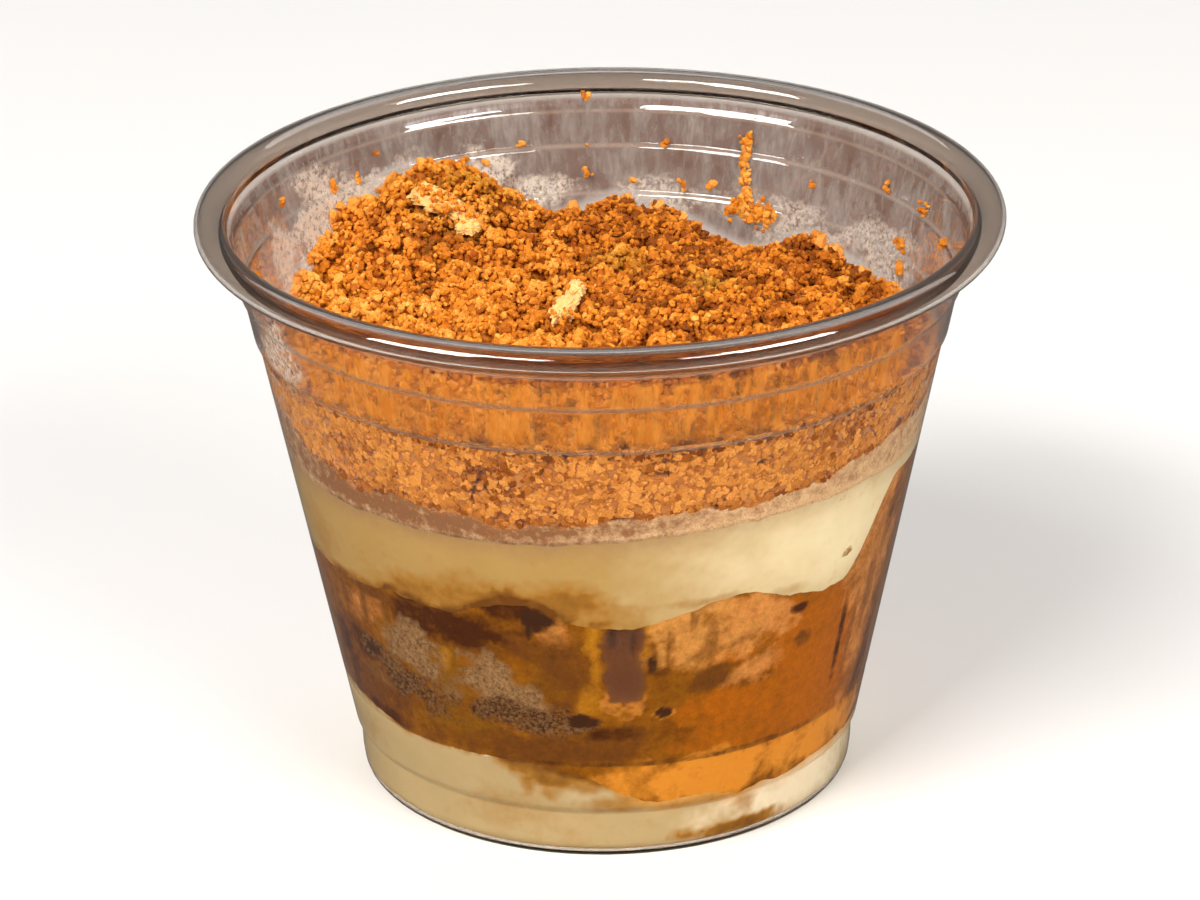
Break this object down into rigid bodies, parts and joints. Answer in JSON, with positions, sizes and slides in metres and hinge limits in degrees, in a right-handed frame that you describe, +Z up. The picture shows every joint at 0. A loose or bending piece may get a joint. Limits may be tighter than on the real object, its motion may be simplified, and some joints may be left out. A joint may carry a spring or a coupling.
{
  "type": "tiramisu in a clear cup",
  "caption": "Layered tiramisu in a clear plastic dessert cup: cream, soaked sponge biscuits, cream, and an uneven heap of biscuit crumbs.",
  "frame": {"origin": "middle of the cup's flat base, on the surface that it stands on", "axes": "+Z up along the cup's axis, -Y towards the front, +X to the right seen from the front"},
  "size_m": [0.092, 0.092, 0.0692],
  "materials": {
    "clear_plastic": "clear thin plastic, glossy, fogged by grease and dust inside above the filling",
    "cream": "smooth pale yellow cream, slightly moist",
    "soaked_biscuit": "soaked sponge biscuit, wet brown with dry grey-beige cores",
    "biscuit_crumbs": "dry orange-brown biscuit crumbs"
  },
  "bodies": {
    "root": {"cup": "clear_plastic", "cream_base": "cream", "biscuit_left": "soaked_biscuit", "biscuit_right": "soaked_biscuit", "biscuit_upright": "soaked_biscuit", "cream_top": "cream", "crumbs": "biscuit_crumbs", "cream_dab_front": "cream", "cream_dab_mound": "cream"}
  },
  "joints": []
}
